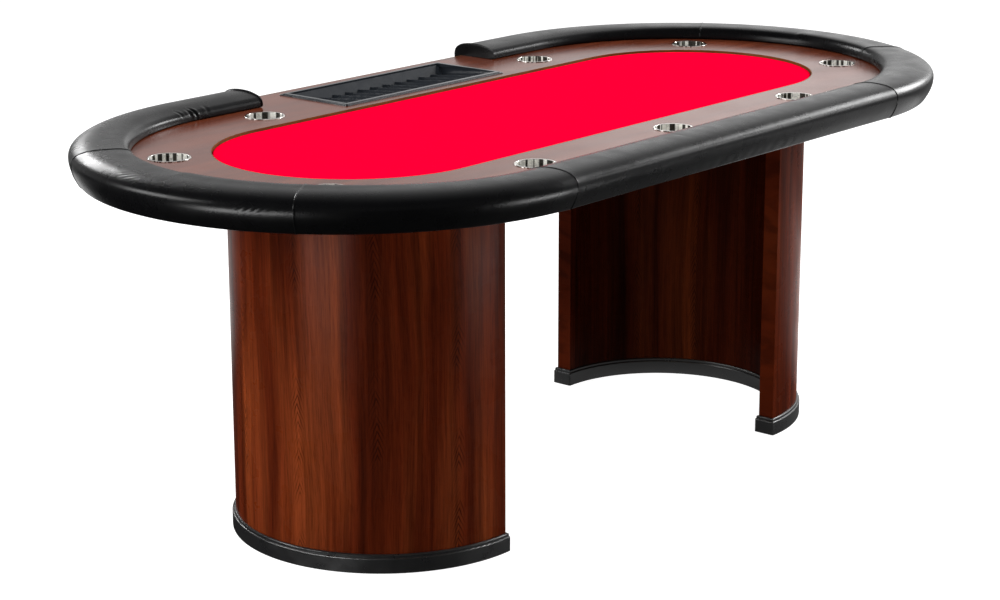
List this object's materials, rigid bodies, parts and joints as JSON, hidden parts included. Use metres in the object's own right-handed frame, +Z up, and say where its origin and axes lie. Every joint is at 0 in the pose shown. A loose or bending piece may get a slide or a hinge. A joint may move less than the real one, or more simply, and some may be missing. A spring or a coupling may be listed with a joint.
{
  "type": "poker table",
  "caption": "Oval poker table with padded vinyl armrest, wood racetrack with drop-in steel cup holders, dealer chip tray, red playing field and half-moon pedestals.",
  "frame": {"origin": "on the floor under the middle of the table top", "axes": "+X along the table's length, +Y towards the dealer's side, +Z up"},
  "size_m": [2.1336, 1.0668, 0.788],
  "materials": {
    "mahogany_laminate": "semi-gloss laminate",
    "mahogany_veneer": "satin veneer, upright grain",
    "edge_band": "satin edge band",
    "birch_plywood": "bare plywood",
    "pine": "planed softwood",
    "black_vinyl": "glossy upholstery vinyl over foam",
    "red_felt": "matt napped felt",
    "white_foam": "closed-cell foam",
    "polished_steel": "mirror-polished stainless steel",
    "tray_plastic": "gloss black moulding",
    "black_lacquer": "satin black lacquer",
    "zinc_steel": "zinc plated",
    "glide_plastic": "moulded nylon"
  },
  "bodies": {
    "table": {"base_deck": "birch_plywood", "racetrack": "mahogany_laminate", "playing_edge_trim": "edge_band", "dealer_edge_trim": "edge_band", "rail_core": "birch_plywood", "rail_bolts": "zinc_steel", "rail_tee_nuts": "zinc_steel", "racetrack_screws": "zinc_steel", "batten_screws": "zinc_steel", "rail_panel_front": "black_vinyl", "rail_panel_front_left": "black_vinyl", "rail_panel_left_end": "black_vinyl", "rail_panel_back_left": "black_vinyl", "rail_panel_front_right": "black_vinyl", "rail_panel_right_end": "black_vinyl", "rail_panel_back_right": "black_vinyl", "batten_front": "pine", "batten_rear": "pine", "batten_left": "pine", "batten_right": "pine", "left_outer_skin": "mahogany_veneer", "left_inner_skin": "mahogany_veneer", "left_front_jamb": "mahogany_veneer", "left_rear_jamb": "mahogany_veneer", "left_formers": "birch_plywood", "left_top_plate": "birch_plywood", "left_plinth": "black_lacquer", "left_floor_glides": "glide_plastic", "left_leg_bolts": "zinc_steel", "left_threaded_inserts": "zinc_steel", "left_plinth_screws": "zinc_steel", "right_outer_skin": "mahogany_veneer", "right_inner_skin": "mahogany_veneer", "right_front_jamb": "mahogany_veneer", "right_rear_jamb": "mahogany_veneer", "right_formers": "birch_plywood", "right_top_plate": "birch_plywood", "right_plinth": "black_lacquer", "right_floor_glides": "glide_plastic", "right_leg_bolts": "zinc_steel", "right_threaded_inserts": "zinc_steel", "right_plinth_screws": "zinc_steel"},
    "playing_field": {"playing_board": "birch_plywood", "playing_foam": "white_foam", "playing_cloth": "red_felt"},
    "tray": {"chip_tray": "tray_plastic"},
    "cup_1": {"cup_holder_1": "polished_steel"},
    "cup_2": {"cup_holder_2": "polished_steel"},
    "cup_3": {"cup_holder_3": "polished_steel"},
    "cup_4": {"cup_holder_4": "polished_steel"},
    "cup_5": {"cup_holder_5": "polished_steel"},
    "cup_6": {"cup_holder_6": "polished_steel"},
    "cup_7": {"cup_holder_7": "polished_steel"},
    "cup_8": {"cup_holder_8": "polished_steel"},
    "cup_9": {"cup_holder_9": "polished_steel"}
  },
  "joints": [
    {"name": "playing_field_lift", "type": "slide", "parent": "table", "child": "playing_field", "axis": [0, 0, 1], "range_m": [0, 0.03]},
    {"name": "tray_lift", "type": "slide", "parent": "table", "child": "tray", "axis": [0, 0, 1], "range_m": [0, 0.05]},
    {"name": "cup_1_lift", "type": "slide", "parent": "table", "child": "cup_1", "axis": [0, 0, 1], "range_m": [0, 0.075]},
    {"name": "cup_2_lift", "type": "slide", "parent": "table", "child": "cup_2", "axis": [0, 0, 1], "range_m": [0, 0.075]},
    {"name": "cup_3_lift", "type": "slide", "parent": "table", "child": "cup_3", "axis": [0, 0, 1], "range_m": [0, 0.075]},
    {"name": "cup_4_lift", "type": "slide", "parent": "table", "child": "cup_4", "axis": [0, 0, 1], "range_m": [0, 0.075]},
    {"name": "cup_5_lift", "type": "slide", "parent": "table", "child": "cup_5", "axis": [0, 0, 1], "range_m": [0, 0.075]},
    {"name": "cup_6_lift", "type": "slide", "parent": "table", "child": "cup_6", "axis": [0, 0, 1], "range_m": [0, 0.075]},
    {"name": "cup_7_lift", "type": "slide", "parent": "table", "child": "cup_7", "axis": [0, 0, 1], "range_m": [0, 0.075]},
    {"name": "cup_8_lift", "type": "slide", "parent": "table", "child": "cup_8", "axis": [0, 0, 1], "range_m": [0, 0.075]},
    {"name": "cup_9_lift", "type": "slide", "parent": "table", "child": "cup_9", "axis": [0, 0, 1], "range_m": [0, 0.075]}
  ]
}
